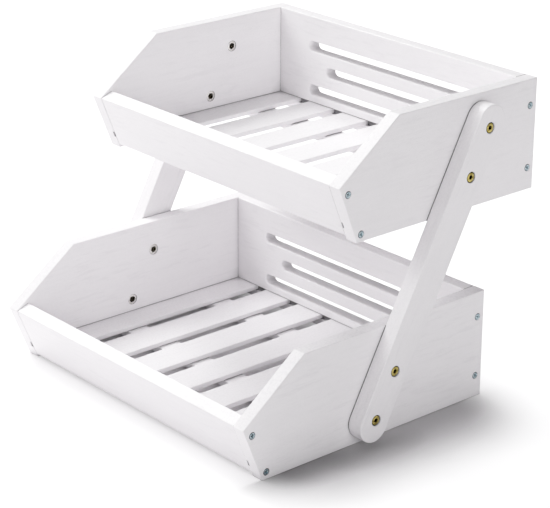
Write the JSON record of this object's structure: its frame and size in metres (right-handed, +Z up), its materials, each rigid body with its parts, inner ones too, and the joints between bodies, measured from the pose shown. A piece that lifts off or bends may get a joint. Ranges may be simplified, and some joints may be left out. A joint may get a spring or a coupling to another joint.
{
  "type": "tiered fruit stand",
  "caption": "Two-tier countertop fruit stand in white painted wood, with slatted tray floors, slotted backs, low leaning fronts and two leaning bolted legs.",
  "frame": {"origin": "centre of the stand's footprint box, on the surface it stands on", "axes": "+X to the right seen from the front, +Y to the back, +Z up; the low fronts face -Y"},
  "size_m": [0.416, 0.3746, 0.3214],
  "materials": {
    "painted_wood": "thin white satin paint with brushed wood grain showing through",
    "brass": "satin antique brass plating",
    "nickel_plate": "warm satin nickel plating",
    "bright_zinc": "bright bluish zinc plating"
  },
  "bodies": {
    "root": {"lower_left_side_board": "painted_wood", "lower_right_side_board": "painted_wood", "lower_front_board": "painted_wood", "lower_back_board": "painted_wood", "lower_slat_1": "painted_wood", "lower_slat_2": "painted_wood", "lower_slat_3": "painted_wood", "lower_slat_4": "painted_wood", "lower_slat_5": "painted_wood", "lower_slat_6": "painted_wood", "lower_slat_7": "painted_wood", "lower_front_batten": "painted_wood", "lower_rear_batten": "painted_wood", "upper_left_side_board": "painted_wood", "upper_right_side_board": "painted_wood", "upper_front_board": "painted_wood", "upper_back_board": "painted_wood", "upper_slat_1": "painted_wood", "upper_slat_2": "painted_wood", "upper_slat_3": "painted_wood", "upper_slat_4": "painted_wood", "upper_slat_5": "painted_wood", "upper_slat_6": "painted_wood", "upper_slat_7": "painted_wood", "upper_front_batten": "painted_wood", "upper_rear_batten": "painted_wood", "left_leg": "painted_wood", "left_bolt_1": "brass", "left_nut_1": "nickel_plate", "left_bolt_2": "brass", "left_nut_2": "nickel_plate", "left_bolt_3": "brass", "left_nut_3": "nickel_plate", "left_bolt_4": "brass", "left_nut_4": "nickel_plate", "right_leg": "painted_wood", "right_bolt_1": "brass", "right_nut_1": "nickel_plate", "right_bolt_2": "brass", "right_nut_2": "nickel_plate", "right_bolt_3": "brass", "right_nut_3": "nickel_plate", "right_bolt_4": "brass", "right_nut_4": "nickel_plate", "lower_left_screw_front_low": "bright_zinc", "lower_left_screw_front_high": "bright_zinc", "lower_left_screw_back_low": "bright_zinc", "lower_left_screw_back_high": "bright_zinc", "lower_right_screw_front_low": "bright_zinc", "lower_right_screw_front_high": "bright_zinc", "lower_right_screw_back_low": "bright_zinc", "lower_right_screw_back_high": "bright_zinc", "upper_left_screw_front_low": "bright_zinc", "upper_left_screw_front_high": "bright_zinc", "upper_left_screw_back_low": "bright_zinc", "upper_left_screw_back_high": "bright_zinc", "upper_right_screw_front_low": "bright_zinc", "upper_right_screw_front_high": "bright_zinc", "upper_right_screw_back_low": "bright_zinc", "upper_right_screw_back_high": "bright_zinc"}
  },
  "joints": []
}
